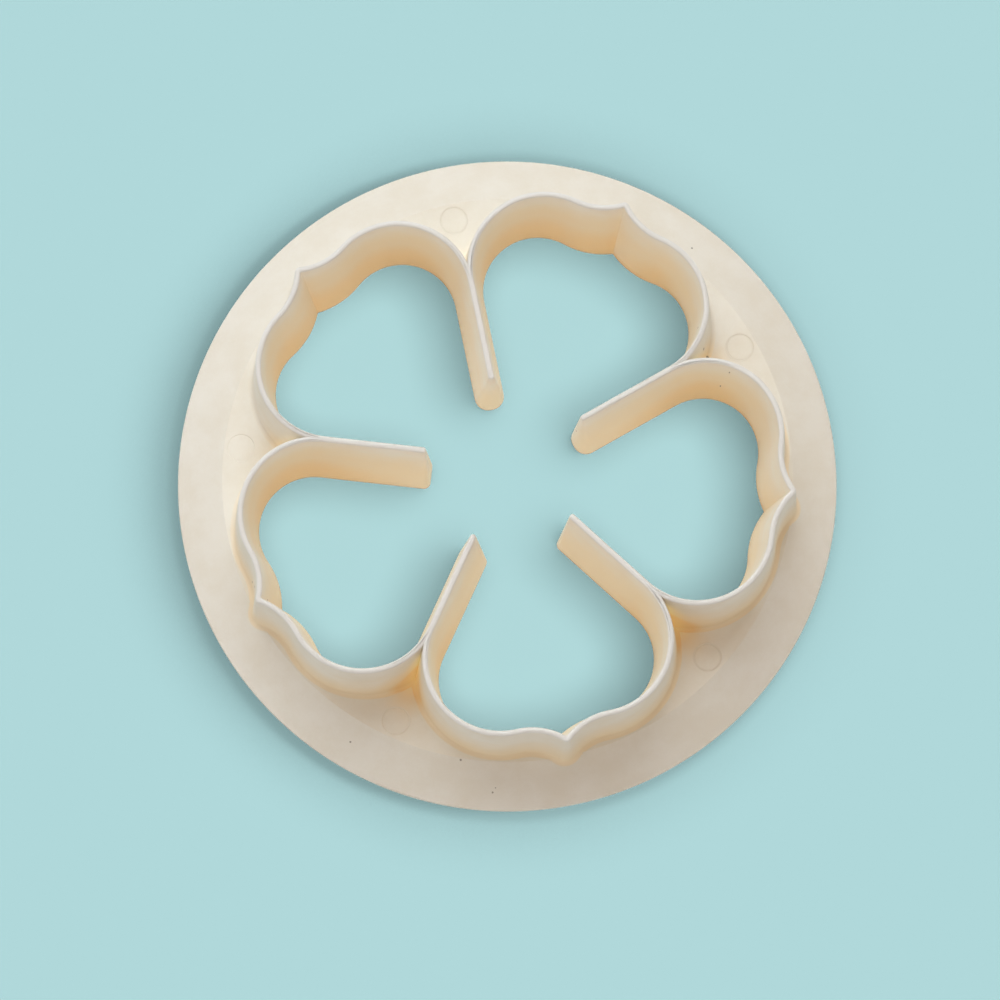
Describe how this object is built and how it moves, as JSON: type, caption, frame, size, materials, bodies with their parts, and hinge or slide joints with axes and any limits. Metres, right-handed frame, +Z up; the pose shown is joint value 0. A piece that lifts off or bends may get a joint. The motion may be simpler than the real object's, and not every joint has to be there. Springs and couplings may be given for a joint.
{
  "type": "flower pastry cutter",
  "caption": "Open flower-shaped pastry cutter: thin leaning petal walls and divider blades, edges up, on a round sloping flange.",
  "frame": {"origin": "centre of the base plane that the round rim rests on", "axes": "+Z up, square to the base, towards the cutting edges; +Y along the first divider blade; +X to its right seen from above"},
  "size_m": [0.092, 0.092, 0.02],
  "materials": {
    "ivory_plastic": "satin moulded plastic, slightly translucent"
  },
  "bodies": {
    "root": {"base_rim": "ivory_plastic", "sloping_flange": "ivory_plastic", "web_plate_1": "ivory_plastic", "web_plate_2": "ivory_plastic", "web_plate_3": "ivory_plastic", "web_plate_4": "ivory_plastic", "web_plate_5": "ivory_plastic", "petal_wall_1": "ivory_plastic", "petal_wall_2": "ivory_plastic", "petal_wall_3": "ivory_plastic", "petal_wall_4": "ivory_plastic", "petal_wall_5": "ivory_plastic", "divider_blade_1": "ivory_plastic", "divider_blade_2": "ivory_plastic", "divider_blade_3": "ivory_plastic", "divider_blade_4": "ivory_plastic", "divider_blade_5": "ivory_plastic"}
  },
  "joints": []
}
